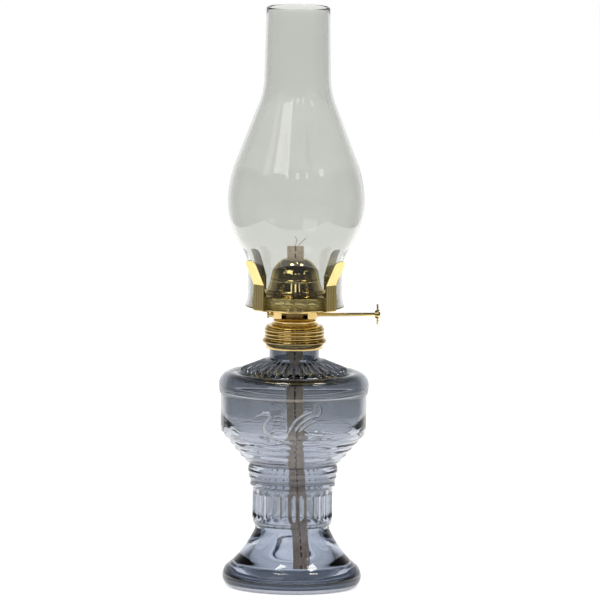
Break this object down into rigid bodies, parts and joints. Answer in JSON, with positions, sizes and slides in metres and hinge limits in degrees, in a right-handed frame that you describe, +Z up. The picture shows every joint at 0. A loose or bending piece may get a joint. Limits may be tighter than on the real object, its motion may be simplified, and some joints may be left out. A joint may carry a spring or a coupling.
{
  "type": "oil lamp",
  "caption": "Table oil lamp: hollow pressed-glass font with a fluted waist, brass flat-wick burner with a side knob and spring prongs, and a lift-off glass bulb chimney.",
  "frame": {"origin": "centre of the foot's rest ring, on the surface the lamp stands on", "axes": "+Z up the lamp's axis, +X along the wick shaft towards its knob, -Y the front"},
  "size_m": [0.0884, 0.0828, 0.3203],
  "materials": {
    "font_glass": "clear pressed glass, smoky blue-grey",
    "chimney_glass": "thin clear blown glass",
    "brass": "bright polished, lacquered",
    "wick": "woven cotton, unbleached",
    "cement": "matt plaster"
  },
  "bodies": {
    "font": {"font": "font_glass", "collar": "brass", "collar_cement": "cement"},
    "burner": {"burner_base": "brass", "wick_tube": "brass", "raiser_housing": "brass", "gallery_ring": "brass", "air_screen": "brass", "deflector_dome": "brass", "prong_front_left": "brass", "prong_front_right": "brass", "prong_back_left": "brass", "prong_back_right": "brass", "prong_rivets": "brass"},
    "knob": {"wick_shaft": "brass", "wick_sprocket_left": "brass", "wick_sprocket_right": "brass", "wick_knob": "brass"},
    "wick": {"wick": "wick"},
    "chimney": {"chimney": "chimney_glass"}
  },
  "joints": [
    {"name": "burner_lift", "type": "slide", "parent": "font", "child": "burner", "axis": [0, 0, 1], "range_m": [0, 0.15]},
    {"name": "chimney_lift", "type": "slide", "parent": "burner", "child": "chimney", "axis": [0, 0, 1], "range_m": [0, 0.05]},
    {"name": "knob_turn", "type": "hinge", "parent": "burner", "child": "knob", "pos_m": [0, -0.0043, 0.1509], "axis": [0.9998, 0, 0.0175], "range_deg": [-131, 174]},
    {"name": "wick_slide", "type": "slide", "parent": "burner", "child": "wick", "axis": [0, 0, 1], "range_m": [-0.0075, 0.01]}
  ],
  "couplings": [
    {"joint": "knob_turn", "follows": "wick_slide", "rad_per_m": 303.03}
  ]
}
